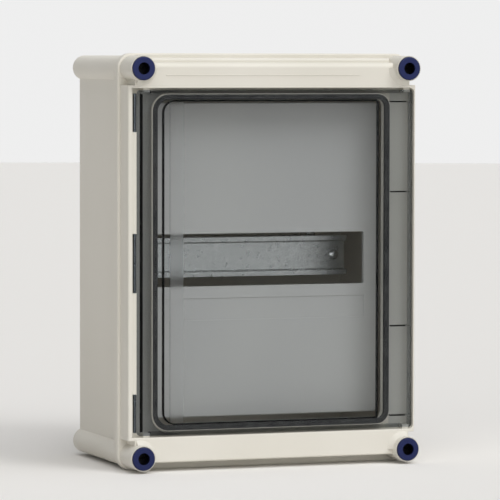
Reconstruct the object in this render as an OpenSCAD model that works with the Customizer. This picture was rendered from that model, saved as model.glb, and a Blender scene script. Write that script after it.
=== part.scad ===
// Wall-mounted enclosure for modular devices on a 35 mm top-hat rail.
// X runs to the right, Y back to the wall, Z up. The wall face is at Y = 0.
// Depths are counted from the plane of the screw heads, front to back.

/* [Case] */
// Width over the cover flange
case_w = 270; // [240:1:320]
// Height over the cover flange
case_h = 360; // [330:1:420]
// Depth from the screw heads to the wall
case_d = 171; // [160:1:200]
// Outer radius of the corner tubes
tube_r = 11; // [10.5:0.5:12]
// How far the flange stands out past the tubes
flange_lip = 2; // [1:0.5:3]
// Inset of the base walls from the outside of the tubes
wall_inset = 6.5; // [5.5:0.5:7.5]
// Thickness of the base walls
base_wall = 3.5; // [2.5:0.5:4]
// Thickness of the back wall
back_t = 3.5; // [2.5:0.5:5]
// Corner radius of the base walls
wall_r = 4; // [2:0.5:6]

/* [Cover] */
// Depth of the rear edge of the cover
cover_d = 42; // [40:0.5:48]
// Depth of the front face of the cover
front_q = 12; // [10:0.5:13]
// Depth of the flange, front to back
flange_t = 8; // [6:0.5:9]
// Rounding of the front edge of the flange
flange_edge = 1.6; // [0.8:0.2:2]
// How far the cover laps over the rim of the base
cover_lap = 2; // [1:0.5:3]
// Height of the upper bar of the frame, with its raised roof
bar_w = 26; // [24:0.5:30]
// Inset of the front of the bars from the outside of the tubes
front_inset = 6; // [5:0.5:7]
// Rounding of the top front edge of the upper bar
front_r = 4.5; // [3.5:0.5:6]
// Rounding of the bottom front edge of the lower bar
sill_r = 1.5; // [0.5:0.5:4]
// Depth of the raised roof of the upper bar behind the front face
roof_set = 8; // [6:0.5:10]
// Rounding of the front edge of the raised roof
roof_r = 2.5; // [1:0.5:3]
// Rounding of the bars along the door recess
bar_edge = 0.8; // [0.4:0.1:1.2]
// Height of the fine bead on the upper bar above the door recess
bead_up = 10.7; // [8:0.1:12]
// Distance from the left tube to the end of the bead
bead_left = 13; // [8:1:30]
// Distance from the right tube to the end of the bead
bead_right = 31; // [8:1:60]
// Wall thickness of the bars
bar_wall = 2.8; // [2:0.2:3.4]
// Inset of the roof of the bars from the outside of the tubes
roof_inset = 2; // [1:0.5:3]
// Inset of the side walls from the outside of the tubes
side_inset = 0.5; // [0:0.5:1.5]
// Rounding of the front edge of the side walls
side_edge = 1.5; // [0.5:0.5:2]
// Gap between a tube and the end ledge of a side wall
ledge_gap = 3.5; // [2:0.5:5]
// Gap between a tube and the end of the raised roof
roof_gap = 0.5; // [0.5:0.5:4]
// Side wall thickness at the hinge
hinge_wall = 3.7; // [3.2:0.1:4]
// Side wall thickness at the free side of the door
free_wall = 1.4; // [1.2:0.2:3]
// Depth of the door recess
recess_d = 14; // [12:0.5:15]
// Thickness of the recess floor
floor_t = 2.5; // [2:0.5:3]
// Corner radius of the door recess
recess_r = 4; // [3:0.5:5]
// Flare of the front face round a tube
flare_w = 4; // [2:0.5:5]

/* [Window] */
// Frame width beside the window opening
side_frame = 28.6; // [27:0.2:32]
// Frame width above and below the window opening
end_frame = 38.2; // [38:0.1:42]
// Corner radius of the window opening at the hinge side
window_r = 11.8; // [9:0.2:16]
// Corner radius of the window opening at the free side
window_r_free = 8.4; // [8:0.2:16]
// Thickness of the collar round the opening
collar_t = 1.4; // [1:0.1:2]
// Height of the collar above the recess floor
collar_h = 10; // [8:0.5:10]
// Thickness of the door seal's legs
seal_leg = 1.5; // [1:0.1:1.8]
// Depth of the door seal's legs
seal_grip = 2.8; // [2:0.2:5]

/* [Door] */
// Thickness of the door pane
pane_t = 2.8; // [2.4:0.1:3]
// Rounding of the front edge of the pane
pane_edge = 1; // [0.4:0.1:1.2]
// Gap between the door and the recess, top and bottom
door_gap = 1.5; // [1:0.1:2]
// Gap between the door and the recess at the free side
free_gap = 1.1; // [0.8:0.1:1.6]
// Thickness of the door skirt
skirt_t = 3; // [1.6:0.1:3.2]
// Depth of the door skirt behind the front of the pane
skirt_d = 10; // [6:0.5:12.5]
// Distance from the window edge to the door's inner rib, at the hinge side
rib_side = 6; // [5:0.1:9]
// Distance from the window edge to the door's inner rib, at the free side
rib_side_free = 7.6; // [5:0.1:9]
// Distance from the window edge to the door's inner rib, at the ends
rib_end = 1.9; // [1.9:0.1:4]
// Corner radius of the inner rib at the hinge side
rib_r = 11; // [8:0.5:13]
// Corner radius of the inner rib at the free side
rib_r_free = 2; // [2:0.5:13]
// Thickness of the inner rib
rib_t = 1.3; // [1:0.1:2]
// Height of the inner rib behind the pane
rib_h = 3; // [2:0.1:5]
// Distance of the outer pair of stiffening gussets from the ends of the door
gusset_in = 10.5; // [6:0.5:20]
// Height of the inner pair of stiffening gussets above the middle
gusset_inner_z = 59; // [40:1:80]
// Thickness of the gussets
gusset_t = 1.2; // [0.8:0.1:2]
// Distance from the door seal to the gussets
gusset_gap = 1.5; // [1:0.5:6]

/* [Hinge] */
// Distance of the hinge axis from the recess wall
hinge_x_off = 2.7; // [2.6:0.1:3]
// Depth of the hinge axis behind the front face
hinge_q_off = 1.9; // [1.8:0.1:2]
// Radius of the hinge knuckles
knuckle_r = 1.7; // [1.5:0.1:1.7]
// Radius of the hinge pins
pin_r = 0.8; // [0.6:0.1:0.9]
// Half the length of the door's middle knuckle
knuckle_mid = 25.3; // [15:0.1:40]
// Length of the door's end knuckles
knuckle_end_l = 32.9; // [20:0.1:50]
// Distance of the door's hinge rib from the recess wall
hinge_rib_in = 8.1; // [7:0.1:9]
// Thickness of the door's hinge rib
hinge_rib_t = 1.3; // [1:0.1:1.6]
// Depth of the door's hinge rib behind the front face
hinge_rib_d = 4; // [3.5:0.5:6]

/* [Devices] */
// Width of one device module
module_w = 17.5; // [17.5:0.5:18]
// Least distance from the side of the window to the device slot
slot_margin = 8; // [6:0.5:12]
// Spare width of the device slot
slot_spare = 1.9; // [1:0.1:4]
// Height of the device slot
slot_h = 46; // [45:0.5:48]
// Depth of the front plate behind the cover
plate_set = 4; // [3:0.5:8]
// Thickness of the front plate
plate_t = 2.5; // [2:0.5:3]
// Overlap of the front plate past the window, at the sides
plate_over = 3.1; // [1:0.1:6]
// Gap between the front plate and the window, at the ends
plate_short = 4.8; // [2:0.1:8]
// Depth of the folded rim of the front plate
plate_rim = 8; // [5:0.5:10]
// Height of the label recess under the slot
label_h = 19; // [12:0.5:24]
// Distance from the slot to the label recess
label_gap = 10.5; // [6:0.5:16]
// Depth from the front of the plate to the front of the rail
device_d = 44; // [42:0.5:48]
// Width of the rail
rail_w = 35; // [35:0.5:36]
// Height of the rail
rail_h = 7.5; // [7.5:0.5:15]
// Sheet thickness of the rail
rail_t = 1; // [0.8:0.1:1.5]
// Width of the rail's web
rail_web = 27; // [25:0.5:28]
// Distance of the rail's ends inside the sides of the window
rail_in = 8.2; // [4:0.2:12]
// Distance of the rail screws from the ends of the rail
rail_screw_in = 10; // [8:0.5:20]

/* [Screws] */
// Radius of the cover screw heads
head_r = 10; // [8.5:0.1:10]
// Thickness of the cover screw heads
head_t = 5; // [4:0.5:7]
// How far the heads stand out of the tubes
head_proud = 2; // [1:0.5:3]
// Radius of the round socket in the heads
socket_r = 5.2; // [3.5:0.1:5.2]
// Depth of the socket
socket_d = 12; // [8:0.5:16]
// Radius of the screw shanks
shank_r = 7.2; // [6:0.1:7.2]
// Reach of the shanks into the base tubes
shank_reach = 18; // [15:0.5:24]
// Radius over the bayonet lugs
lug_r = 8.3; // [7.9:0.1:8.4]
// Width of the bayonet lugs
lug_w = 4; // [3:0.5:5]
// Radius of the wall fixing holes
fixing_r = 3.25; // [2.5:0.25:4]

/* [Hidden] */
$fn = 72;

// Colours of the materials
shell_grey = "#dad6ca";
plate_grey = "#c9c9c4";
smoke_grey = "#70747680";
seal_black = "#2b2c2c";
screw_blue = "#333a66";
zinc_grey = "#9da1a0";

// Overshoot of a cut past the face it leaves
cut = 1;
// Clearance between a moving piece and its neighbour
run_gap = 0.3;
// Clearance round a cover screw's head
head_gap = 0.2;
// Clearance of a piece that is pushed into another
push_gap = 0.05;
// Radial clearance of the hinge pins in the cover, and in the door
pin_fit_cover = 0.02;
pin_fit_door = 0.08;

// Corner tubes and base walls
tube_x = case_w / 2 - flange_lip - tube_r;
tube_z = case_h / 2 - flange_lip - tube_r;
wall_x = tube_x + tube_r - wall_inset;
wall_z = tube_z + tube_r - wall_inset;
bore_r = shank_r + run_gap;
groove_r = lug_r + run_gap;
rim_q = cover_d - cover_lap;
inner_q = case_d - back_t;
fixing_t = back_t + 0.5;

// Bayonet lugs of the cover screws
lug_t = 3;
lug_q = rim_q + 12;

// Cover frame
side_x = tube_x + tube_r - side_inset;
side_z = tube_z - tube_r - ledge_gap;
roof_x = tube_x - tube_r - roof_gap;
roof_z = tube_z + tube_r - roof_inset;
front_z = tube_z + tube_r - front_inset;
flange_q = cover_d - flange_t;
recess_z = roof_z - bar_w;
recess_left = -side_x + hinge_wall;
recess_right = side_x - free_wall;
floor_q = front_q + recess_d;
land_q = floor_q + floor_t;
bead_h = 0.8;
bead_proud = 0.3;

// Cover seal
cover_seal_t = 3;
cover_seal_in = 1;
seal_groove_q = rim_q - cover_seal_t;
rim_clear = 0.5;
lip_t = 1.5;
lip_reach = 0.5;

// Window opening and its collar
window_w = case_w - 2 * side_frame;
window_h = case_h - 2 * end_frame;
collar_q = floor_q - collar_h;

// Door
hinge_x = recess_left + hinge_x_off;
hinge_q = front_q + hinge_q_off;
pane_q = front_q + pane_t;
door_left = hinge_x + knuckle_r + run_gap;
door_right = recess_right - free_gap;
door_z = recess_z - door_gap;
door_r = recess_r - free_gap;
seal_web_q = collar_q - push_gap;
hinge_rib_x = recess_left + hinge_rib_in;
stop_w = 6;
stop_in = 10.8;
stop_edge = 2.9;
stop_near_x = recess_left + stop_in;
stop_far_x = recess_right - stop_edge;
stop_h = 3.6;
stop_q = pane_q + 2 * run_gap;
skirt_left = stop_near_x + stop_w + 2 * run_gap;
fill_front = 1.1;
gusset_left = window_w / 2 + collar_t + seal_leg + gusset_gap;
gusset_outer_z = door_z - gusset_in;
knuckle_top = door_z - door_r;
knuckle_end = knuckle_top - knuckle_end_l;

// Front plate
plate_q = cover_d + plate_set;
plate_back = plate_q + plate_t;
plate_w = window_w + 2 * plate_over;
plate_h = window_h - 2 * plate_short;
plate_r = 3;
plate_edge = 1;
plate_wall = 1.8;
modules = floor((window_w - 2 * slot_margin - slot_spare) / module_w);
slot_w = modules * module_w + slot_spare;
slot_r = 1.5;
label_d = 0.5;
post_r = 5;
post_in = 14;
post_x = plate_w / 2 - post_in;
post_z = plate_h / 2 - post_in;
peg_r = 2.4;
peg_l = 9;
peg_split = 1;

// Rail and what carries it
rail_q = plate_q + device_d;
rail_back = rail_q + rail_h;
rail_l = window_w - 2 * rail_in;
rail_screw_x = rail_l / 2 - rail_screw_in;
rail_bend = 0.8;
standoff_r = 7;
boss_h = 8;
boss_r = 5.5;
foot_q = inner_q - boss_h;
foot_t = 4;
foot_w = 18;
foot_h = 46;
foot_hole_z = 16;
screw_r = 2.2;
screw_fit = 0.1;
screw_head_r = 4.4;
screw_head_t = 2.6;
screw_l = 14;
driver_w = 1.1;
driver_d = 1.2;

// A flat shape in X and Z, drawn out from one depth to another
module along_depth(q0, q1) {
    translate([0, q1 - case_d, 0]) rotate([90, 0, 0]) linear_extrude(q1 - q0) children();
}

// A section in Y and Z, drawn out along X
module along_x(x0, x1) {
    translate([x0, 0, 0]) rotate([90, 0, 90]) linear_extrude(x1 - x0) children();
}

// A section in X and Y, drawn out along Z
module along_z(z0, z1) {
    translate([0, 0, z0]) linear_extrude(z1 - z0) children();
}

// A round bar along the depth
module round_bar(r, q0, q1) {
    translate([0, q1 - case_d, 0]) rotate([90, 0, 0]) cylinder(r = r, h = q1 - q0);
}

// A turned shape along the depth, drawn as radius and height in front of depth q
module turned(q) {
    translate([0, q - case_d, 0]) rotate([90, 0, 0]) rotate_extrude() children();
}

// Copies of a piece in all four corners
module at_corners(x, z) {
    for (sx = [-1, 1], sz = [-1, 1]) translate([sx * x, 0, sz * z]) children();
}

// A flat rectangle with round corners
module rounded_rect(w, h, r) {
    square([w - 2 * r, h], center = true);
    square([w, h - 2 * r], center = true);
    for (sx = [-1, 1], sz = [-1, 1]) translate([sx * (w / 2 - r), sz * (h / 2 - r)]) circle(r);
}

// A flat frame with round corners
module rect_ring(w, h, r, t) {
    difference() {
        rounded_rect(w, h, r);
        rounded_rect(w - 2 * t, h - 2 * t, r - t);
    }
}

// A flat rectangle with its own corner radius at the left and at the right
module sided_rect(w, h, r_left, r_right) {
    intersection() {
        rounded_rect(w, h, r_left);
        translate([-w / 2, -h / 2]) square([w / 2 + cut, h]);
    }
    intersection() {
        rounded_rect(w, h, r_right);
        translate([0, -h / 2]) square([w / 2, h]);
    }
}

// Outline of the window opening, grown by a distance
module window_outline(grow) {
    sided_rect(window_w + 2 * grow, window_h + 2 * grow, window_r + grow, window_r_free + grow);
}

// A flat band round the window opening, from one distance to another
module window_band(inner, outer) {
    difference() {
        window_outline(outer);
        window_outline(inner);
    }
}

// Section through a plate whose front edges are rounded
module edge_section(q0, q1, half, e) {
    translate([q0 - case_d, 0]) {
        translate([e, -half]) square([q1 - q0 - e, 2 * half]);
        translate([0, e - half]) square([q1 - q0, 2 * (half - e)]);
        for (s = [-1, 1]) translate([e, s * (half - e)]) circle(e);
    }
}

// The upper half of a section in Y and Z
module upper_half() {
    intersection() {
        children();
        translate([-case_d, -cut]) square([case_d, case_h]);
    }
}

// A plate with round corners and a rounded front edge
module soft_plate(w, h, r, q0, q1, e) {
    t = q1 - q0;
    along_x(r - w / 2, w / 2 - r) edge_section(q0, q1, h / 2, e);
    along_z(r - h / 2, h / 2 - r) mirror([1, -1]) edge_section(q0, q1, w / 2, e);
    at_corners(w / 2 - r, h / 2 - r) turned(q1) {
        square([r, t - e]);
        square([r - e, t]);
        translate([r - e, t - e]) circle(e);
    }
}

// The four tube circles, as seen from the front
module tube_circles(r) {
    for (sx = [-1, 1], sz = [-1, 1]) translate([sx * tube_x, sz * tube_z]) circle(r);
}

// Outline of the base walls and tubes, grown by a clearance
module base_outline(grow) {
    rounded_rect(2 * (wall_x + grow), 2 * (wall_z + grow), wall_r + grow);
    tube_circles(tube_r + grow);
}

// Outline inside the base walls and clear of the tubes, drawn in by a distance
module base_inside(inset) {
    difference() {
        square([2 * (wall_x - inset), 2 * (wall_z - inset)], center = true);
        tube_circles(tube_r - base_wall + inset);
    }
}

// Closed path of the cover seal along the rim of the base, grown by a clearance
module seal_path(grow) {
    difference() {
        base_inside(cover_seal_in - grow);
        base_inside(base_wall - cover_seal_in + grow);
    }
}

// Bore of a base tube with the bayonet groove and its two entry slots
module tube_bore() {
    round_bar(bore_r, rim_q - cut, case_d - fixing_t);
    round_bar(groove_r, lug_q - run_gap, lug_q + lug_t + run_gap);
    along_depth(rim_q - cut, lug_q + lug_t + run_gap) intersection() {
        circle(groove_r);
        square([2 * groove_r, lug_w + 2 * run_gap], center = true);
    }
    round_bar(fixing_r, case_d - fixing_t - cut, case_d + cut);
}

// Post that carries one corner of the front plate
module plate_post() {
    difference() {
        round_bar(post_r, plate_back, inner_q + cut);
        round_bar(peg_r + push_gap, plate_back - cut, plate_back + peg_l + run_gap);
    }
}

module base_box() {
    color(shell_grey) {
        difference() {
            along_depth(rim_q, case_d) base_outline(0);
            along_depth(rim_q - cut, inner_q) base_inside(base_wall);
            at_corners(tube_x, tube_z) tube_bore();
        }
        at_corners(post_x, post_z) plate_post();
        at_corners(rail_screw_x, foot_hole_z) difference() {
            round_bar(boss_r, foot_q, inner_q + cut);
            round_bar(screw_r + screw_fit, foot_q - cut, inner_q - cut);
        }
    }
}

// Outer form of the cover between its front face and its flange
module cover_form() {
    intersection() {
        along_depth(front_q, flange_q + cut) {
            square([2 * side_x, 2 * side_z], center = true);
            rounded_rect(2 * wall_x, 2 * front_z, wall_r);
        }
        along_x(-side_x, side_x) {
            upper_half() edge_section(front_q, cover_d, front_z, front_r);
            mirror([0, 1]) upper_half() edge_section(front_q, cover_d, front_z, sill_r);
        }
        along_z(-front_z, front_z) mirror([1, -1]) edge_section(front_q, cover_d, side_x, side_edge);
    }
    along_x(-roof_x, roof_x) upper_half() edge_section(front_q + roof_set, flange_q + cut, roof_z, roof_r);
    along_depth(front_q - bead_proud, front_q + cut)
        translate([tube_r + bead_left - tube_x, recess_z + bead_up])
            square([2 * (tube_x - tube_r) - bead_left - bead_right, bead_h]);
}

// Cut that rounds one bar along the door recess
module bar_edge_cut() {
    along_x(recess_left, recess_right - recess_r) translate([front_q - case_d, recess_z]) difference() {
        translate([-cut, -cut]) square(bar_edge + cut);
        translate([bar_edge, bar_edge]) circle(bar_edge);
    }
}

// Hollow of one bar of the frame, open to the inside of the case, with or without a raised roof
module bar_hollow(raised) {
    z0 = recess_z + bar_wall;
    z1 = front_z - bar_wall;
    q0 = front_q + bar_wall;
    r = front_r - bar_wall;
    along_x(bar_wall - roof_x, roof_x - bar_wall) translate([q0 - case_d, 0]) {
        translate([r, z0]) square([land_q - q0 - r, z1 - z0]);
        translate([0, z0]) square([land_q - q0, z1 - z0 - r]);
        translate([r, z1 - r]) circle(r);
        if (raised) translate([roof_set, z0]) square([land_q - q0 - roof_set, roof_z - bar_wall - z0]);
    }
}

// Flares of the front face round the tubes, kept inside the line of the walls
module tube_flares() {
    intersection() {
        at_corners(tube_x, tube_z) turned(front_q)
            polygon([[0, -cut], [tube_r + flare_w, -cut], [tube_r + flare_w, 0], [tube_r, flare_w],
                [0, flare_w]]);
        along_depth(front_q - flare_w - cut, front_q + cut)
            square([2 * (wall_x - side_edge), 2 * (front_z - front_r)], center = true);
    }
}

// Bore of a cover tube, with the seat of the screw head
module cover_bore() {
    round_bar(bore_r, head_proud - cut, rim_q + cut);
    round_bar(head_r + head_gap, head_proud - cut, head_t);
}

// Cover knuckle: a barrel on a post from the recess floor, with a fill between it and the side wall
module cover_knuckle(z0, z1) {
    axis_y = hinge_q - case_d;
    post_l = floor_q + cut - hinge_q;
    fill_x = recess_left - cut;
    difference() {
        along_z(z0, z1) {
            translate([hinge_x, axis_y]) circle(knuckle_r);
            translate([hinge_x - cut, axis_y]) square([knuckle_r + cut, post_l]);
            translate([fill_x, axis_y - fill_front]) square([hinge_x - fill_x, post_l + fill_front]);
        }
        translate([hinge_x, axis_y, z0 - cut]) cylinder(r = pin_r + pin_fit_cover, h = z1 - z0 + 2 * cut);
    }
}

// Outline of the door recess, square at the hinge and round at the free side
module recess_outline() {
    recess_w = recess_right - recess_left;
    translate([recess_left + recess_w / 2, 0]) rounded_rect(recess_w, 2 * recess_z, recess_r);
    translate([recess_left, -recess_z]) square([recess_w / 2, 2 * recess_z]);
}

// Door stops in the corners of the recess
module door_stops() {
    for (x = [stop_near_x, stop_far_x - stop_w]) {
        along_depth(stop_q, floor_q + cut) for (s = [-1, 1])
            translate([x, s > 0 ? recess_z - stop_h : -recess_z - cut]) square([stop_w, stop_h + cut]);
    }
}

module cover_frame() {
    color(shell_grey) {
        difference() {
            union() {
                difference() {
                    union() {
                        cover_form();
                        tube_flares();
                        soft_plate(case_w, case_h, tube_r + flange_lip, flange_q, cover_d, flange_edge);
                    }
                    along_depth(front_q - flare_w - cut, floor_q) recess_outline();
                    along_depth(front_q, land_q + cut) window_outline(0);
                    along_depth(land_q, cover_d + cut) base_inside(base_wall + lip_t + run_gap);
                    along_depth(seal_groove_q, cover_d + cut) base_outline(rim_clear);
                    for (s = [0, 1]) mirror([0, 0, s]) {
                        bar_hollow(s == 0);
                        bar_edge_cut();
                    }
                }
                at_corners(tube_x, tube_z) round_bar(tube_r, head_proud, rim_q);
                along_depth(collar_q, land_q) window_band(0, collar_t);
                along_depth(seal_groove_q - cut, rim_q + lip_reach) difference() {
                    base_inside(base_wall + run_gap);
                    base_inside(base_wall + lip_t + run_gap);
                }
                door_stops();
            }
            at_corners(tube_x, tube_z) cover_bore();
            along_depth(seal_groove_q, rim_q + cut) seal_path(push_gap);
        }
        for (s = [0, 1]) mirror([0, 0, s]) cover_knuckle(knuckle_mid + run_gap, knuckle_end - run_gap);
    }
}

module cover_seal() {
    color(seal_black) along_depth(seal_groove_q, rim_q) seal_path(0);
}

// Door knuckle with its web to the pane
module door_knuckle(z0, z1) {
    axis_y = hinge_q - case_d;
    along_z(z0, z1) {
        translate([hinge_x, axis_y]) circle(knuckle_r);
        translate([hinge_x, pane_edge + front_q - case_d])
            square([door_left + cut - hinge_x, pane_t - pane_edge]);
    }
}

module window_door() {
    mid_x = (door_left + door_right) / 2;
    door_w = door_right - door_left;
    skirt_q = front_q + skirt_d;
    rib_w = window_w - rib_side - rib_side_free;
    rib_l = window_h - 2 * rib_end;
    rib_mid_x = (rib_side - rib_side_free) / 2;
    color(smoke_grey) difference() {
        union() {
            translate([mid_x, 0, 0]) soft_plate(door_w, 2 * door_z, door_r, front_q, pane_q, pane_edge);
            difference() {
                along_depth(pane_q - pane_edge, skirt_q) translate([mid_x, 0]) difference() {
                    rounded_rect(door_w, 2 * door_z, door_r);
                    square([door_w - 2 * skirt_t, 2 * (door_z - skirt_t)], center = true);
                }
                along_depth(pane_q, skirt_q + cut) translate([door_left - cut, -door_z - cut])
                    square([skirt_left - door_left + cut, 2 * (door_z + cut)]);
                along_depth(pane_q, skirt_q + cut)
                    translate([stop_far_x - stop_w - 2 * run_gap, -door_z - cut])
                        square([stop_w + 4 * run_gap, 2 * (door_z + cut)]);
                along_depth(front_q, skirt_q + cut) translate([door_left - cut, -door_z - cut])
                    square([hinge_rib_x - door_left + cut, 2 * (door_z + cut)]);
            }
            along_depth(pane_q - cut, front_q + hinge_rib_d)
                translate([hinge_rib_x, -door_z + door_r]) square([hinge_rib_t, 2 * (door_z - door_r)]);
            along_depth(pane_q - cut, pane_q + rib_h) translate([rib_mid_x, 0]) difference() {
                sided_rect(rib_w, rib_l, rib_r, rib_r_free);
                sided_rect(rib_w - 2 * rib_t, rib_l - 2 * rib_t, rib_r - rib_t, rib_r_free - rib_t);
            }
            for (z = [-gusset_outer_z, -gusset_inner_z, gusset_inner_z, gusset_outer_z])
                along_depth(pane_q - cut, skirt_q - cut)
                    translate([gusset_left, z - gusset_t / 2])
                        square([door_right - skirt_t / 2 - gusset_left, gusset_t]);
            door_knuckle(-knuckle_mid, knuckle_mid);
            for (s = [0, 1]) mirror([0, 0, s]) door_knuckle(knuckle_end, knuckle_top);
        }
        translate([hinge_x, hinge_q - case_d, -door_z]) cylinder(r = pin_r + pin_fit_door, h = 2 * door_z);
    }
}

module door_seal() {
    side = seal_leg + push_gap;
    color(seal_black) difference() {
        along_depth(pane_q, collar_q + seal_grip) window_band(-side, collar_t + side);
        along_depth(seal_web_q, collar_q + seal_grip + cut) window_band(-push_gap, collar_t + push_gap);
    }
}

// One hinge pin, from the middle of the door's middle knuckle to the end of the door
module hinge_pin() {
    color(zinc_grey) translate([hinge_x, hinge_q - case_d, run_gap])
        cylinder(r = pin_r, h = knuckle_top - run_gap);
}

module hinge_pin_upper() {
    hinge_pin();
}

module hinge_pin_lower() {
    mirror([0, 0, 1]) hinge_pin();
}

// Split peg behind a corner of the front plate
module plate_peg() {
    difference() {
        round_bar(peg_r, plate_back - cut, plate_back + peg_l);
        along_depth(plate_back + peg_split, plate_back + peg_l + cut)
            square([peg_split, 2 * (peg_r + cut)], center = true);
    }
}

module front_plate() {
    color(plate_grey) {
        difference() {
            union() {
                soft_plate(plate_w, plate_h, plate_r, plate_q, plate_back, plate_edge);
                along_depth(plate_back - cut, plate_q + plate_rim)
                    rect_ring(plate_w, plate_h, plate_r, plate_wall);
                along_depth(plate_back - cut, plate_q + plate_rim / 2)
                    rounded_rect(slot_w + 2 * plate_wall, slot_h + 2 * plate_wall, slot_r + plate_wall);
            }
            along_depth(plate_q - cut, plate_q + plate_rim + cut) rounded_rect(slot_w, slot_h, slot_r);
            along_depth(plate_q - cut, plate_q + label_d)
                translate([-slot_w / 2, -slot_h / 2 - label_gap - label_h]) square([slot_w, label_h]);
        }
        at_corners(post_x, post_z) plate_peg();
    }
}

// Half of the rail's section: the web behind, a side and the flange in front
module rail_half() {
    side_z = rail_web / 2;
    translate([rail_back - rail_t - case_d, 0]) square([rail_t, side_z - rail_bend]);
    translate([rail_q + rail_bend - case_d, side_z - rail_t]) square([rail_h - 2 * rail_bend, rail_t]);
    translate([rail_q - case_d, side_z + rail_bend - rail_t])
        square([rail_t, rail_w / 2 - side_z - rail_bend + rail_t]);
    intersection() {
        translate([rail_back - rail_t - rail_bend - case_d, side_z - rail_t - rail_bend])
            square([rail_t + rail_bend, rail_t + rail_bend]);
        translate([rail_back - rail_t - rail_bend - case_d, side_z - rail_t - rail_bend]) difference() {
            circle(rail_t + rail_bend);
            circle(rail_bend);
        }
    }
    intersection() {
        translate([rail_q - case_d, side_z - rail_t]) square([rail_t + rail_bend, rail_t + rail_bend]);
        translate([rail_q + rail_t + rail_bend - case_d, side_z + rail_bend]) difference() {
            circle(rail_t + rail_bend);
            circle(rail_bend);
        }
    }
}

module din_rail() {
    color(zinc_grey) difference() {
        along_x(-rail_l / 2, rail_l / 2) for (s = [0, 1]) mirror([0, s]) rail_half();
        for (s = [-1, 1]) translate([s * rail_screw_x, 0, 0])
            round_bar(screw_r + screw_fit, rail_q - cut, rail_back + cut);
    }
}

// Stand-off that carries one end of the rail
module rail_standoff() {
    color(shell_grey) difference() {
        union() {
            round_bar(standoff_r, rail_back, foot_q - foot_t + cut);
            along_depth(foot_q - foot_t, foot_q) rounded_rect(foot_w, foot_h, foot_w / 3);
        }
        round_bar(screw_r + screw_fit, rail_back - cut, rail_back + screw_l);
        for (s = [-1, 1]) translate([0, 0, s * foot_hole_z])
            round_bar(screw_r + screw_fit, foot_q - foot_t - cut, foot_q + cut);
    }
}

module rail_standoff_left() {
    translate([-rail_screw_x, 0, 0]) rail_standoff();
}

module rail_standoff_right() {
    translate([rail_screw_x, 0, 0]) rail_standoff();
}

// Round-headed screw with a straight slot, its head seated at depth q
module small_screw(q, reach) {
    color(zinc_grey) difference() {
        union() {
            turned(q) intersection() {
                translate([0, -2 * screw_head_t])
                    circle(sqrt(pow(screw_head_r, 2) + pow(2 * screw_head_t, 2)));
                square([screw_head_r, screw_head_t]);
            }
            round_bar(screw_r, q - screw_head_t / 2, q + reach);
        }
        along_depth(q - screw_head_t - cut, q - screw_head_t + driver_d)
            square([2 * (screw_head_r + cut), driver_w], center = true);
    }
}

module rail_screws() {
    for (s = [-1, 1]) translate([s * rail_screw_x, 0, 0]) small_screw(rail_back - rail_t, screw_l - cut);
}

module standoff_screws() {
    at_corners(rail_screw_x, foot_hole_z) small_screw(foot_q - foot_t, foot_t + boss_h - 2 * cut);
}

// Quarter-turn screw: head with a round socket, long shank and two lugs
module cover_screw() {
    edge = 1;
    end_q = rim_q + shank_reach;
    color(screw_blue) difference() {
        union() {
            turned(head_t) {
                square([head_r, head_t - edge]);
                square([head_r - edge, head_t]);
                translate([head_r - edge, head_t - edge]) circle(edge);
            }
            turned(end_q) polygon([[0, 0], [shank_r - edge, 0], [shank_r, edge],
                [shank_r, end_q - head_t + edge], [0, end_q - head_t + edge]]);
            along_depth(lug_q, lug_q + lug_t) intersection() {
                circle(lug_r);
                square([lug_w, 2 * lug_r], center = true);
            }
        }
        round_bar(socket_r, -cut, socket_d);
        along_depth(socket_d - cut, socket_d + 2 * driver_d)
            square([2 * socket_r - edge, 1.5 * driver_w], center = true);
    }
}

module cover_screw_top_left() {
    translate([-tube_x, 0, tube_z]) cover_screw();
}

module cover_screw_top_right() {
    translate([tube_x, 0, tube_z]) cover_screw();
}

module cover_screw_bottom_left() {
    translate([-tube_x, 0, -tube_z]) cover_screw();
}

module cover_screw_bottom_right() {
    translate([tube_x, 0, -tube_z]) cover_screw();
}

base_box();
cover_frame();
cover_seal();
window_door();
door_seal();
hinge_pin_upper();
hinge_pin_lower();
front_plate();
din_rail();
rail_standoff_left();
rail_standoff_right();
rail_screws();
standoff_screws();
cover_screw_top_left();
cover_screw_top_right();
cover_screw_bottom_left();
cover_screw_bottom_right();
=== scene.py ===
"""Studio scene of a wall-mounted enclosure for modular devices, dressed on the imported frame."""

import logging
import math
from dataclasses import dataclass
from enum import Enum

import bmesh
import bpy
from mathutils import Matrix, Vector


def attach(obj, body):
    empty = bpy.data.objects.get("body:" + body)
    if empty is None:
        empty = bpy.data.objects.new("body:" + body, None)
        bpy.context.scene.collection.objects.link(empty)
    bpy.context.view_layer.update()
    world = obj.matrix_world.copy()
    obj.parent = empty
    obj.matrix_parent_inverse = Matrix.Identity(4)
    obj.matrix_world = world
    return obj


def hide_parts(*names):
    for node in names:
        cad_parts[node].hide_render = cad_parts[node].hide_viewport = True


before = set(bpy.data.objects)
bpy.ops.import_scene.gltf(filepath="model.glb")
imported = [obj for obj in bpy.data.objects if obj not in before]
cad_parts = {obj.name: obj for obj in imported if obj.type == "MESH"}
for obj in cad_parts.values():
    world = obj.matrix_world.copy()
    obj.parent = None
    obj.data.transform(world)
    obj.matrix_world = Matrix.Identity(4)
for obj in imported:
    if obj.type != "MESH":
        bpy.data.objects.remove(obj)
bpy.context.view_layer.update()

LOG = logging.getLogger("enclosure_scene")
MM = 0.001
QUARTER_TURN = math.pi / 2

# Curve of display colours
LEVELS = 255.0
CURVE_START = 0.04045
CURVE_SLOPE = 12.92
CURVE_OFFSET = 0.055
CURVE_POWER = 2.4

# Sockets of a mix node that is set to colours
MIX_SHARE = 0
MIX_FIRST = 6
MIX_SECOND = 7
MIX_RESULT = 2

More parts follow.
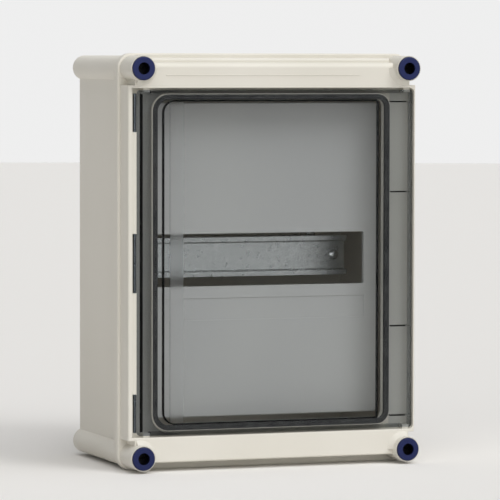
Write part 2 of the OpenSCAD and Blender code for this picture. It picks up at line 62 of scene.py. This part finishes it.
Colour = tuple[float, float, float]
Point = tuple[float, float, float]
Section = list[tuple[float, float]]
Socket = bpy.types.NodeSocket
Node = bpy.types.Node


def linear(red: int, green: int, blue: int) -> Colour:
    """Turn a display colour into the linear one that shaders use.

    Args:
        red: Red from 0 to 255.
        green: Green from 0 to 255.
        blue: Blue from 0 to 255.

    Returns:
        The linear colour.
    """

    def one(level: int) -> float:
        """Linear value of one channel."""
        share = level / LEVELS
        if share <= CURVE_START:
            return share / CURVE_SLOPE
        return ((share + CURVE_OFFSET) / (1.0 + CURVE_OFFSET)) ** CURVE_POWER

    return one(red), one(green), one(blue)


def rgba(colour: Colour) -> tuple[float, float, float, float]:
    """The colour with a full alpha."""
    return (*colour, 1.0)


class Slot(Enum):
    """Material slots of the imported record."""

    SHELL = "shell_plastic"
    PLATE = "plate_plastic"
    SMOKE = "smoked_clear"
    SEAL = "seal_rubber"
    SCREW = "screw_plastic"
    ZINC = "zinc_steel"


class Body(Enum):
    """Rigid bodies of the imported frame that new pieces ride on."""

    CASE = "case"


class NodeSheet:
    """A node tree with short calls for adding and linking nodes."""

    def __init__(self, tree: bpy.types.NodeTree) -> None:
        """Keep the tree that is written to."""
        self.tree = tree

    def add(self, kind: str, **values: object) -> Node:
        """Add a node and set its properties.

        Args:
            kind: Blender's name of the node type.
            **values: Properties of the node itself.

        Returns:
            The new node.
        """
        node = self.tree.nodes.new(kind)
        for name, value in values.items():
            setattr(node, name, value)
        return node

    def link(self, source: Socket, target: Socket) -> None:
        """Join an output to an input."""
        self.tree.links.new(source, target)

    def object_point(self) -> Socket:
        """Position on the piece, in metres in the shared frame."""
        return self.add("ShaderNodeTexCoord").outputs["Object"]

    def axes(self) -> Node:
        """Node with the position on the piece along X, Y and Z."""
        node = self.add("ShaderNodeSeparateXYZ")
        self.link(self.object_point(), node.inputs["Vector"])
        return node

    def spread(
        self, value: Socket, low: float, high: float, to_low: float = 0.0, to_high: float = 1.0
    ) -> Socket:
        """Map one range of a value onto another, with its ends held.

        Args:
            value: Value to map.
            low: Value that becomes to_low.
            high: Value that becomes to_high.
            to_low: Result at the low end.
            to_high: Result at the high end.

        Returns:
            The mapped value.
        """
        node = self.add("ShaderNodeMapRange")
        node.inputs["From Min"].default_value = low
        node.inputs["From Max"].default_value = high
        node.inputs["To Min"].default_value = to_low
        node.inputs["To Max"].default_value = to_high
        self.link(value, node.inputs["Value"])
        return node.outputs["Result"]

    def maths(self, action: str, first: Socket, second: Socket | float = 0.0) -> Socket:
        """Combine two values.

        Args:
            action: Name of the operation.
            first: First value.
            second: Second value, a socket or a number.

        Returns:
            The result.
        """
        node = self.add("ShaderNodeMath", operation=action)
        self.link(first, node.inputs[0])
        if isinstance(second, (int, float)):
            node.inputs[1].default_value = second
        else:
            self.link(second, node.inputs[1])
        return node.outputs["Value"]

    def blend(self, share: Socket, first: Colour | Socket, second: Colour) -> Socket:
        """Colour between two colours.

        Args:
            share: 0 for the first colour and 1 for the second.
            first: First colour, plain or from a socket.
            second: Second colour.

        Returns:
            The mixed colour.
        """
        node = self.add("ShaderNodeMix", data_type="RGBA")
        if isinstance(first, tuple):
            node.inputs[MIX_FIRST].default_value = rgba(first)
        else:
            self.link(first, node.inputs[MIX_FIRST])
        node.inputs[MIX_SECOND].default_value = rgba(second)
        self.link(share, node.inputs[MIX_SHARE])
        return node.outputs[MIX_RESULT]

    def stripe(self, value: Socket, start: float, end: float, soft: float) -> Socket:
        """Mask that is 1 between two values and fades over a soft edge.

        Args:
            value: Coordinate to read.
            start: Where the stripe starts.
            end: Where the stripe ends.
            soft: Width of the fade at each edge.

        Returns:
            The mask.
        """
        rise = self.spread(value, start - soft / 2, start + soft / 2)
        fall = self.spread(value, end - soft / 2, end + soft / 2, 1.0, 0.0)
        return self.maths("MULTIPLY", rise, fall)


@dataclass(frozen=True)
class NoiseEffect:
    """Noise on the piece's own position, spread to a value from 0 to 1.

    Noise values of low and high become 0 and 1, detail is the number of finer layers, and stretch
    is the scale along each axis.
    """

    name: str
    output: str
    detail: float
    low: float
    high: float
    stretch: Point = (1.0, 1.0, 1.0)

    def build(self) -> bpy.types.NodeTree:
        """Make the node group, with the features per metre as its input."""
        group = bpy.data.node_groups.new(self.name, "ShaderNodeTree")
        for label, side in (("Scale", "INPUT"), (self.output, "OUTPUT")):
            group.interface.new_socket(name=label, in_out=side, socket_type="NodeSocketFloat")
        sheet = NodeSheet(group)
        given = sheet.add("NodeGroupInput")
        result = sheet.add("NodeGroupOutput")
        mapping = sheet.add("ShaderNodeMapping")
        mapping.inputs["Scale"].default_value = self.stretch
        sheet.link(sheet.object_point(), mapping.inputs["Vector"])
        noise = sheet.add("ShaderNodeTexNoise")
        noise.inputs["Detail"].default_value = self.detail
        sheet.link(mapping.outputs["Vector"], noise.inputs["Vector"])
        sheet.link(given.outputs["Scale"], noise.inputs["Scale"])
        value = sheet.spread(noise.outputs["Fac"], self.low, self.high)
        sheet.link(value, result.inputs[self.output])
        return group


# Fine matt texture of a moulded surface
GRAIN = NoiseEffect("moulded_grain", "Height", detail=2.0, low=0.3, high=0.7)
# Slow change of tone over a large surface
DRIFT = NoiseEffect(
    "tone_drift", "Share", detail=1.0, low=0.35, high=0.65, stretch=(1.0, 1.0, 0.6)
)
# Sparse fine rubs from handling
SCUFFS = NoiseEffect(
    "handling_scuffs", "Mask", detail=6.0, low=0.6, high=0.72, stretch=(1.0, 1.0, 7.0)
)


class Effects:
    """Surface effects that several finishes share, each a node group built once."""

    def __init__(self) -> None:
        """Build the groups."""
        self.grain = GRAIN.build()
        self.drift = DRIFT.build()
        self.scuffs = SCUFFS.build()


class Finish:
    """A material under way: its sheet, its main shader and its output."""

    BEVEL_SAMPLES = 4

    def __init__(self, name: str) -> None:
        """Start a material of the given name with one plain shader."""
        self.material = bpy.data.materials.new(name)
        self.material.use_nodes = True
        self.material.node_tree.nodes.clear()
        self.sheet = NodeSheet(self.material.node_tree)
        self.shader = self.sheet.add("ShaderNodeBsdfPrincipled")
        self.output = self.sheet.add("ShaderNodeOutputMaterial")
        self.sheet.link(self.shader.outputs["BSDF"], self.output.inputs["Surface"])

    def set(self, **numbers: float) -> None:
        """Set plain values on the shader, with spaces in a name written as low lines."""
        for name, number in numbers.items():
            self.shader.inputs[name.replace("_", " ")].default_value = number

    def effect(self, group: bpy.types.NodeTree, scale: float) -> Socket:
        """Place a shared effect.

        Args:
            group: Effect to place.
            scale: Features per metre.

        Returns:
            Its output.
        """
        node = self.sheet.add("ShaderNodeGroup", node_tree=group)
        node.inputs["Scale"].default_value = scale
        return node.outputs[0]

    def colour(self, value: Socket) -> None:
        """Take the base colour from a socket."""
        self.sheet.link(value, self.shader.inputs["Base Color"])

    def roughness(self, value: Socket, low: float, high: float) -> None:
        """Let the roughness follow a value from 0 to 1 between two limits."""
        followed = self.sheet.spread(value, 0.0, 1.0, low, high)
        self.sheet.link(followed, self.shader.inputs["Roughness"])

    def bump(self, height: Socket, depth: float, edge: float = 0.0) -> None:
        """Add surface relief, on softly rounded edges if they have a radius.

        Args:
            height: Relief from 0 to 1.
            depth: Height of the relief in metres.
            edge: Radius of the rounded edges in metres.
        """
        relief = self.sheet.add("ShaderNodeBump")
        relief.inputs["Distance"].default_value = depth
        self.sheet.link(height, relief.inputs["Height"])
        if edge > 0:
            soft = self.sheet.add("ShaderNodeBevel", samples=self.BEVEL_SAMPLES)
            soft.inputs["Radius"].default_value = edge
            self.sheet.link(soft.outputs["Normal"], relief.inputs["Normal"])
        self.sheet.link(relief.outputs["Normal"], self.shader.inputs["Normal"])


@dataclass(frozen=True)
class MouldedPlastic:
    """Opaque moulded plastic with a fine matt texture.

    With a pit shade tone, the colour sinks to it between the depths of the pit's front and back: a
    painted shade deep in the screw's socket.
    """

    name: str
    tone: Colour
    second_tone: Colour
    gloss_low: float
    gloss_high: float
    grain_scale: float = 1400.0
    grain_depth: float = 0.02 * MM
    edge: float = 0.6 * MM
    shine: float = 0.35
    refraction: float = 1.53
    drift_scale: float = 9.0
    scuff_scale: float = 60.0
    scuff_share: float = 0.5
    # Colour of the painted shade deep in a pit, if any
    pit_shade_tone: Colour | None = None
    pit_front: float = -170.4 * MM
    pit_back: float = -168.0 * MM

    def build(self, effects: Effects) -> bpy.types.Material:
        """Make the material."""
        finish = Finish(self.name)
        sheet = finish.sheet
        grain = finish.effect(effects.grain, self.grain_scale)
        drift = finish.effect(effects.drift, self.drift_scale)
        tone = sheet.blend(drift, self.tone, self.second_tone)
        # Painted shade: the colour darkens towards the pit tone deeper in the socket
        if self.pit_shade_tone is not None:
            pit_shade_share = sheet.spread(sheet.axes().outputs["Y"], self.pit_front, self.pit_back)
            tone = sheet.blend(pit_shade_share, tone, self.pit_shade_tone)
        finish.colour(tone)
        scuffs = finish.effect(effects.scuffs, self.scuff_scale)
        rubbed = sheet.maths("MULTIPLY", scuffs, self.scuff_share)
        finish.roughness(sheet.maths("SUBTRACT", grain, rubbed), self.gloss_low, self.gloss_high)
        finish.bump(grain, self.grain_depth, self.edge)
        finish.set(IOR=self.refraction, Specular_IOR_Level=self.shine)
        return finish.material


@dataclass(frozen=True)
class SmokedClear:
    """Clear smoked plastic whose colour deepens with its thickness.

    The pane has a frosted band with a dark line along it. Near-black colour is painted on the ribs
    behind it as painted shade for their dark look edge-on, and painted shadow darkens its borders
    outside the seal. Its refraction is lower than the plastic's own, which keeps the mirror image
    of the surroundings weak.
    """

    name: str = "smoked_clear"
    absorption: Colour = (0.0, 0.03, 0.04)
    density: float = 93.0
    clear_tint: Colour = (0.97, 0.975, 0.98)
    # Near-black painted shade that stands in for the dark look of clear ribs seen edge-on
    rib_shade_tint: Colour = (0.0006, 0.0006, 0.0007)
    # Painted shadow over the channel on the hinge side, outside the seal
    hinge_shadow_tint: Colour = (0.43, 0.46, 0.5)
    # Painted shadow over the channel on the free side
    free_shadow_tint: Colour = (0.72, 0.75, 0.79)
    line_tint: Colour = (0.62, 0.63, 0.64)
    shade_tint: Colour = (0.99, 0.99, 0.99)
    shine: float = 0.06
    refraction: float = 1.2
    polish: float = 0.015
    ripple: float = 0.03
    ripple_scale: float = 30.0
    ripple_depth: float = 0.002 * MM
    frosted: float = 0.4
    pane_back: float = -156.0 * MM
    ribs_right: float = 126.5 * MM
    ribs_half_height: float = 145.0 * MM
    root_left: float = -121.5 * MM
    root_right: float = -119.4 * MM
    hinge_right: float = -111.5 * MM
    turn_x: float = -94.6 * MM
    turn_z: float = 130.0 * MM
    free_left: float = 108.0 * MM
    band_left: float = -94.0 * MM
    band_right: float = -82.6 * MM
    band_half_height: float = 138.0 * MM
    line_width: float = 0.7 * MM
    fade: float = 0.3 * MM

    def build(self, effects: Effects) -> bpy.types.Material:
        """Make the material."""
        finish = Finish(self.name)
        sheet = finish.sheet
        axes = sheet.axes()
        across = axes.outputs["X"]
        height = sheet.stripe(
            axes.outputs["Z"], -self.band_half_height, self.band_half_height, self.fade
        )
        band = sheet.stripe(across, self.band_left, self.band_right, self.fade)
        line = sheet.stripe(across, self.band_left - self.line_width, self.band_left, self.fade)
        drift = finish.effect(effects.drift, self.ripple_scale)
        polish = sheet.spread(drift, 0.0, 1.0, self.polish, self.ripple)
        frost = sheet.spread(sheet.maths("MULTIPLY", band, height), 0.0, 1.0, 0.0, self.frosted)
        sheet.link(sheet.maths("ADD", polish, frost), finish.shader.inputs["Roughness"])
        finish.colour(self._tint(sheet, axes, sheet.maths("MULTIPLY", line, height)))
        finish.set(IOR=self.refraction, Transmission_Weight=1.0, Specular_IOR_Level=self.shine)
        finish.bump(drift, self.ripple_depth)
        self._let_light_through(finish)
        return finish.material

    def _tint(self, sheet: NodeSheet, axes: Node, line: Socket) -> Socket:
        """Colour of the plastic over the pane, with painted shadow on its borders and painted shade
        on the ribs behind it.

        Args:
            sheet: Sheet of the material.
            axes: Node with the position along each axis.
            line: Mask of the edge of the frosted band.

        Returns:
            The colour.
        """
        # Painted shadow over the free side of the pane, past free_left
        free = sheet.spread(axes.outputs["X"], self.free_left, self.free_left + self.fade)
        tint = sheet.blend(line, self.clear_tint, self.line_tint)
        # Painted shadow over the hinge side channel
        tint = sheet.blend(self._hinge_shadow_mask(sheet, axes), tint, self.hinge_shadow_tint)
        tint = sheet.blend(free, tint, self.free_shadow_tint)
        # Near-black painted shade on the ribs and the hinge rib's root
        return sheet.blend(self._rib_shade_mask(sheet, axes), tint, self.rib_shade_tint)

    def _rib_shade_mask(self, sheet: NodeSheet, axes: Node) -> Socket:
        """Mask of the near-black painted shade on the ribs behind the pane and on the root of the
        hinge rib.

        Args:
            sheet: Sheet of the material.
            axes: Node with the position along each axis.

        Returns:
            1 on the ribs and 0 elsewhere.
        """
        across = axes.outputs["X"]
        behind = sheet.spread(axes.outputs["Y"], self.pane_back, self.pane_back + self.fade)
        inside = sheet.spread(across, self.ribs_right, self.ribs_right + self.fade, 1.0, 0.0)
        root = sheet.stripe(across, self.root_left, self.root_right, self.fade)
        ribs = sheet.maths("MAXIMUM", root, sheet.maths("MULTIPLY", behind, inside))
        middle = sheet.stripe(
            axes.outputs["Z"], -self.ribs_half_height, self.ribs_half_height, self.fade
        )
        return sheet.maths("MULTIPLY", ribs, middle)

    def _hinge_shadow_mask(self, sheet: NodeSheet, axes: Node) -> Socket:
        """Mask of the painted shadow on the pane's hinge side, outside the rounded corners of the
        seal.

        Args:
            sheet: Sheet of the material.
            axes: Node with the position along each axis.

        Returns:
            1 on the border and 0 inside it.
        """
        reach = self.turn_x - self.hinge_right
        height = sheet.maths("ABSOLUTE", axes.outputs["Z"])
        across = sheet.spread(axes.outputs["X"], self.hinge_right, self.turn_x, reach, 0.0)
        rise = sheet.spread(height, self.turn_z, self.turn_z + 2 * reach, 0.0, 2 * reach)
        square = sheet.maths(
            "ADD", sheet.maths("MULTIPLY", across, across), sheet.maths("MULTIPLY", rise, rise)
        )
        outside = sheet.spread(square, reach * (reach - 2 * self.fade), reach * reach)
        near = sheet.spread(axes.outputs["X"], self.turn_x, self.turn_x + reach, 1.0, 0.0)
        return sheet.maths("MULTIPLY", outside, near)

    def _let_light_through(self, finish: Finish) -> None:
        """Let lamps shine through the pane, and dim what passes by the thickness."""
        sheet = finish.sheet
        path = sheet.add("ShaderNodeLightPath")
        straight = sheet.maths(
            "MAXIMUM", path.outputs["Is Shadow Ray"], path.outputs["Is Diffuse Ray"]
        )
        clear = sheet.add("ShaderNodeBsdfTransparent")
        clear.inputs["Color"].default_value = rgba(self.shade_tint)
        mix = sheet.add("ShaderNodeMixShader")
        sheet.link(straight, mix.inputs[0])
        sheet.link(finish.shader.outputs["BSDF"], mix.inputs[1])
        sheet.link(clear.outputs["BSDF"], mix.inputs[2])
        sheet.link(mix.outputs["Shader"], finish.output.inputs["Surface"])
        smoke = sheet.add("ShaderNodeVolumeAbsorption")
        smoke.inputs["Color"].default_value = rgba(self.absorption)
        smoke.inputs["Density"].default_value = self.density
        sheet.link(smoke.outputs["Volume"], finish.output.inputs["Volume"])


@dataclass(frozen=True)
class SealRubber:
    """Soft dark grey rubber with a dusty bloom."""

    name: str = "seal_rubber"
    tone: Colour = linear(62, 63, 64)
    bloom: Colour = linear(76, 77, 77)
    shine: float = 0.06
    bloom_scale: float = 120.0
    grain_scale: float = 2600.0
    grain_depth: float = 0.03 * MM
    edge: float = 0.3 * MM
    rough_low: float = 0.55
    rough_high: float = 0.8

    def build(self, effects: Effects) -> bpy.types.Material:
        """Make the material."""
        finish = Finish(self.name)
        drift = finish.effect(effects.drift, self.bloom_scale)
        finish.colour(finish.sheet.blend(drift, self.tone, self.bloom))
        grain = finish.effect(effects.grain, self.grain_scale)
        finish.roughness(grain, self.rough_low, self.rough_high)
        finish.bump(grain, self.grain_depth, self.edge)
        finish.set(Specular_IOR_Level=self.shine)
        return finish.material


@dataclass(frozen=True)
class ZincSteel:
    """Galvanised steel with a mottled spangle."""

    name: str = "zinc_steel"
    pale: Colour = linear(202, 205, 204)
    dull: Colour = linear(182, 186, 186)
    spangle_scale: float = 320.0
    spangle_share: float = 0.35
    cloud_scale: float = 240.0
    cloud_detail: float = 5.0
    cloud_rough: float = 0.55
    cloud_low: float = 0.3
    cloud_high: float = 0.7
    cloud_share: float = 0.65
    rough_dull: float = 0.29
    rough_pale: float = 0.22
    relief: float = 0.0015 * MM
    edge: float = 0.4 * MM

    def build(self) -> bpy.types.Material:
        """Make the material."""
        finish = Finish(self.name)
        sheet = finish.sheet
        cells = sheet.add("ShaderNodeTexVoronoi")
        cells.inputs["Scale"].default_value = self.spangle_scale
        sheet.link(sheet.object_point(), cells.inputs["Vector"])
        tones = sheet.add("ShaderNodeSeparateColor")
        sheet.link(cells.outputs["Color"], tones.inputs["Color"])
        spangle = sheet.maths("MULTIPLY", tones.outputs["Red"], self.spangle_share)
        cloud = self._cloud(sheet)
        clouded = sheet.spread(cloud, self.cloud_low, self.cloud_high, 0.0, self.cloud_share)
        mottle = sheet.maths("ADD", spangle, clouded)
        finish.colour(sheet.blend(mottle, self.dull, self.pale))
        finish.roughness(mottle, self.rough_dull, self.rough_pale)
        finish.bump(cloud, self.relief, self.edge)
        finish.set(Metallic=1.0)
        return finish.material

    def _cloud(self, sheet: NodeSheet) -> Socket:
        """Soft noise over the metal, of about 0.5 on average."""
        node = sheet.add("ShaderNodeTexNoise")
        node.inputs["Scale"].default_value = self.cloud_scale
        node.inputs["Detail"].default_value = self.cloud_detail
        node.inputs["Roughness"].default_value = self.cloud_rough
        sheet.link(sheet.object_point(), node.inputs["Vector"])
        return node.outputs["Fac"]


SHELL_PLASTIC = MouldedPlastic(
    "shell_plastic", linear(226, 222, 212), linear(222, 218, 207), gloss_low=0.42, gloss_high=0.52
)
PLATE_PLASTIC = MouldedPlastic(
    "plate_plastic", linear(212, 213, 211), linear(207, 208, 207), gloss_low=0.4, gloss_high=0.5
)
SCREW_PLASTIC = MouldedPlastic(
    "screw_plastic",
    linear(34, 41, 80),
    linear(40, 47, 88),
    gloss_low=0.3,
    gloss_high=0.42,
    grain_scale=2200.0,
    grain_depth=0.012 * MM,
    edge=0.3 * MM,
    shine=0.12,
    # Painted shade deep in the screw's socket, darker towards its bottom
    pit_shade_tone=linear(6, 6, 12),
)


class FinishBook:
    """The finish of each material slot, made once."""

    def __init__(self) -> None:
        """Make every finish."""
        effects = Effects()
        self.made: dict[Slot, bpy.types.Material] = {
            Slot.SHELL: SHELL_PLASTIC.build(effects),
            Slot.PLATE: PLATE_PLASTIC.build(effects),
            Slot.SCREW: SCREW_PLASTIC.build(effects),
            Slot.SMOKE: SmokedClear().build(effects),
            Slot.SEAL: SealRubber().build(effects),
            Slot.ZINC: ZincSteel().build(),
        }

    def dress(self, piece: bpy.types.Object, slot: Slot) -> None:
        """Give a piece the finish of a slot."""
        piece.data.materials.clear()
        piece.data.materials.append(self.made[slot])


@dataclass
class PackedGroup:
    """A sub-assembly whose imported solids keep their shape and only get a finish."""

    title: str
    nodes: tuple[str, ...]
    slot: Slot

    def dress(self, finishes: FinishBook) -> None:
        """Dress each solid."""
        for name in self.nodes:
            finishes.dress(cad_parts[name], self.slot)
            LOG.info("%s: %s dressed as %s", self.title, name, self.slot.value)


@dataclass
class DoorSeal:
    """Soft seal on the collar round the window, and the pale lip along its outside.

    Each is one closed section drawn round the opening. Points of a section are the distance outside
    the window edge and the depth.
    """

    half_width: float = 106.4 * MM
    half_height: float = 141.8 * MM
    hinge_radius: float = 11.8 * MM
    free_radius: float = 8.4 * MM
    collar: float = 1.4 * MM
    leg: float = 1.5 * MM
    play: float = 0.05 * MM
    front: float = -156.0 * MM
    web: float = -155.05 * MM
    rear: float = -152.2 * MM
    round_over: float = 0.9 * MM
    groove: float = 0.35 * MM
    lip: float = 0.55 * MM
    lip_lap: float = 0.2 * MM
    lip_drop: float = 0.8 * MM
    merge: float = 0.001 * MM
    corner_steps: int = 14
    edge_steps: int = 5
    sharp_angle: float = 32.0

    def build(self, finishes: FinishBook) -> None:
        """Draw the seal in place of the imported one, and the lip beside it."""
        seal = self._sweep("door_seal_rubber", self._seal_section())
        finishes.dress(seal, Slot.SEAL)
        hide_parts("door_seal")
        lip = self._sweep("collar_lip", self._lip_section())
        finishes.dress(lip, Slot.SHELL)

    def _seal_section(self) -> Section:
        """Section of the seal: two legs over the collar, and a crown with a groove."""
        inner = -self.leg - self.play
        outer = self.collar + self.leg + self.play
        middle = (inner + outer) / 2
        points = [(inner, self.rear)]
        points += self._arc(inner + self.round_over, -1)
        points += [
            (middle - self.groove, self.front),
            (middle, self.front + self.groove),
            (middle + self.groove, self.front),
        ]
        points += reversed(self._arc(outer - self.round_over, 1))
        points += [
            (outer, self.rear),
            (self.collar + self.play, self.rear),
            (self.collar + self.play, self.web),
            (-self.play, self.web),
            (-self.play, self.rear),
        ]
        return points

    def _arc(self, centre: float, side: int) -> Section:
        """Quarter round from the flank to the crown.

        Args:
            centre: Distance of the centre outside the window edge.
            side: -1 on the window's side and 1 on the outside.

        Returns:
            Points from the flank to the crown.
        """
        turns = [QUARTER_TURN * step / self.edge_steps for step in range(self.edge_steps + 1)]
        radius = self.round_over
        depth = self.front + radius
        return [
            (centre + side * radius * math.cos(turn), depth - radius * math.sin(turn))
            for turn in turns
        ]

    def _lip_section(self) -> Section:
        """Section of the pale lip that stands against the outside of the seal."""
        flank = self.collar + self.leg + self.play
        crest = self.front + self.lip_drop
        return [
            (flank - self.lip_lap, self.rear),
            (flank - self.lip_lap, crest),
            (flank + self.lip, crest),
            (flank + self.lip, self.rear),
        ]

    def _sweep(self, name: str, section: Section) -> bpy.types.Object:
        """Draw a closed section round the window.

        Args:
            name: Name of the piece.
            section: Points of the section, in order.

        Returns:
            The new piece, riding on the case.
        """
        shape = bmesh.new()
        start = self.hinge_radius - self.half_width
        ring = [shape.verts.new((start, depth, self.half_height + out)) for out, depth in section]
        loop = [shape.edges.new(pair) for pair in zip(ring, ring[1:] + ring[:1])]
        across = 2 * self.half_width - self.hinge_radius - self.free_radius
        free_down = 2 * (self.half_height - self.free_radius)
        hinge_up = 2 * (self.half_height - self.hinge_radius)
        sides = (
            (Vector((across, 0, 0)), 1, 1, self.free_radius),
            (Vector((0, 0, -free_down)), 1, -1, self.free_radius),
            (Vector((-across, 0, 0)), -1, -1, self.hinge_radius),
            (Vector((0, 0, hinge_up)), -1, 1, self.hinge_radius),
        )
        for step, right, up, radius in sides:
            loop = self._run(shape, loop, step)
            centre = (right * (self.half_width - radius), 0, up * (self.half_height - radius))
            loop = self._turn(shape, loop, centre)
        bmesh.ops.remove_doubles(shape, verts=shape.verts, dist=self.merge)
        bmesh.ops.recalc_face_normals(shape, faces=shape.faces)
        for face in shape.faces:
            face.smooth = True
        mesh = bpy.data.meshes.new(name)
        shape.to_mesh(mesh)
        shape.free()
        mesh.set_sharp_from_angle(angle=math.radians(self.sharp_angle))
        piece = bpy.data.objects.new(name, mesh)
        bpy.context.scene.collection.objects.link(piece)
        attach(piece, Body.CASE.value)
        LOG.info("seals: %s drawn with %d faces", piece.name, len(mesh.polygons))
        return piece

    @staticmethod
    def _run(shape: bmesh.types.BMesh, loop: list, step: Vector) -> list:
        """Draw the section out along one straight side and return its new end."""
        drawn = bmesh.ops.extrude_edge_only(shape, edges=loop)["geom"]
        corners = [part for part in drawn if isinstance(part, bmesh.types.BMVert)]
        bmesh.ops.translate(shape, vec=step, verts=corners)
        return [part for part in drawn if isinstance(part, bmesh.types.BMEdge)]

    def _turn(self, shape: bmesh.types.BMesh, loop: list, centre: Point) -> list:
        """Turn the section round one corner and return its new end."""
        turned = bmesh.ops.spin(
            shape,
            geom=loop,
            cent=centre,
            axis=(0, 1, 0),
            angle=QUARTER_TURN,
            steps=self.corner_steps,
        )["geom_last"]
        return [part for part in turned if isinstance(part, bmesh.types.BMEdge)]


@dataclass(frozen=True)
class Lamp:
    """A broad even light.

    The direction runs from the object to the light, the power is in watts per square metre, and the
    spread is the angle that the light covers, in degrees.
    """

    name: str
    towards: Point
    power: float
    spread: float

    def hang(self) -> None:
        """Put the light into the scene."""
        data = bpy.data.lights.new(self.name, "SUN")
        data.energy = self.power
        data.angle = math.radians(self.spread)
        lamp = bpy.data.objects.new(self.name, data)
        lamp.rotation_euler = (-Vector(self.towards)).to_track_quat("-Z", "Y").to_euler()
        bpy.context.scene.collection.objects.link(lamp)


@dataclass
class Studio:
    """Camera, lights, floor and surroundings."""

    azimuth: float = -19.84
    elevation: float = 3.02
    roll: float = 0.1
    distance: float = 3.2658
    aim: Point = (0.0049, -0.085, 0.0059)
    lens: float = 265.2
    sensor: float = 36.0
    sight: float = 50.0
    floor_z: float = -0.18
    floor_radius: float = 9.0
    floor_segments: int = 96
    floor_tone: Colour = linear(240, 238, 235)
    floor_rough: float = 0.9
    sky_tone: Colour = (1.0, 1.0, 1.0)
    sky_light: float = 0.07
    backdrop: float = 0.86
    lamps: tuple[Lamp, ...] = (
        Lamp("key_light", (0.6, -1.0, 0.95), power=0.74, spread=24.0),
        Lamp("top_light", (0.14, -0.22, 1.0), power=1.54, spread=60.0),
        Lamp("fill_light", (-0.35, -1.0, 0.6), power=1.08, spread=72.0),
    )

    def place_camera(self) -> None:
        """Set the camera where the object is seen from."""
        turn, rise, tilt = (math.radians(x) for x in (self.azimuth, self.elevation, self.roll))
        flat = math.cos(rise)
        back = Vector((math.sin(turn) * flat, -math.cos(turn) * flat, math.sin(rise)))
        right = Vector((0, 0, 1)).cross(back).normalized()
        up = back.cross(right)
        level = right * math.cos(tilt) + up * math.sin(tilt)
        over = up * math.cos(tilt) - right * math.sin(tilt)
        data = bpy.data.cameras.new("camera")
        data.lens = self.lens
        data.sensor_width = self.sensor
        data.sensor_fit = "HORIZONTAL"
        data.clip_end = self.sight
        camera = bpy.data.objects.new("camera", data)
        bpy.context.scene.collection.objects.link(camera)
        turned = Matrix((level, over, back)).transposed().to_4x4()
        camera.matrix_world = Matrix.Translation(Vector(self.aim) + back * self.distance) @ turned
        bpy.context.scene.camera = camera

    def light(self) -> None:
        """Light the object from above and from the front, with pale surroundings."""
        for lamp in self.lamps:
            lamp.hang()
        world = bpy.data.worlds.new("surroundings")
        world.use_nodes = True
        world.node_tree.nodes.clear()
        sheet = NodeSheet(world.node_tree)
        path = sheet.add("ShaderNodeLightPath")
        seen = sheet.maths("MAXIMUM", path.outputs["Is Camera Ray"], path.outputs["Is Glossy Ray"])
        seen = sheet.maths("MAXIMUM", seen, path.outputs["Is Transmission Ray"])
        sky = sheet.add("ShaderNodeBackground")
        sky.inputs["Color"].default_value = rgba(self.sky_tone)
        strength = sheet.spread(seen, 0.0, 1.0, self.sky_light, self.backdrop)
        sheet.link(strength, sky.inputs["Strength"])
        out = sheet.add("ShaderNodeOutputWorld")
        sheet.link(sky.outputs["Background"], out.inputs["Surface"])
        bpy.context.scene.world = world

    def lay_floor(self) -> None:
        """Lay a pale floor under the object."""
        mesh = bpy.data.meshes.new("floor")
        shape = bmesh.new()
        bmesh.ops.create_circle(
            shape,
            cap_ends=True,
            segments=self.floor_segments,
            radius=self.floor_radius,
            matrix=Matrix.Translation((0, 0, self.floor_z)),
        )
        shape.to_mesh(mesh)
        shape.free()
        floor = bpy.data.objects.new("floor", mesh)
        bpy.context.scene.collection.objects.link(floor)
        finish = bpy.data.materials.new("floor_paper")
        finish.use_nodes = True
        shader = finish.node_tree.nodes["Principled BSDF"]
        shader.inputs["Base Color"].default_value = rgba(self.floor_tone)
        shader.inputs["Roughness"].default_value = self.floor_rough
        mesh.materials.append(finish)


PACKED_GROUPS = (
    PackedGroup(
        "case",
        ("base_box", "cover_frame", "rail_standoff_left", "rail_standoff_right"),
        Slot.SHELL,
    ),
    PackedGroup("door", ("window_door",), Slot.SMOKE),
    PackedGroup("seals", ("cover_seal",), Slot.SEAL),
    PackedGroup("plate", ("front_plate",), Slot.PLATE),
    PackedGroup(
        "steel",
        ("din_rail", "rail_screws", "standoff_screws", "hinge_pin_upper", "hinge_pin_lower"),
        Slot.ZINC,
    ),
    PackedGroup(
        "cover screws",
        (
            "cover_screw_top_left",
            "cover_screw_top_right",
            "cover_screw_bottom_left",
            "cover_screw_bottom_right",
        ),
        Slot.SCREW,
    ),
)


def main() -> None:
    """Build the studio and dress the sub-assemblies in order."""
    logging.basicConfig(level=logging.INFO)
    bpy.context.scene.view_settings.view_transform = "Standard"
    studio = Studio()
    studio.place_camera()
    studio.light()
    studio.lay_floor()
    finishes = FinishBook()
    for group in PACKED_GROUPS:
        group.dress(finishes)
    DoorSeal().build(finishes)


if __name__ == "__main__":
    main()
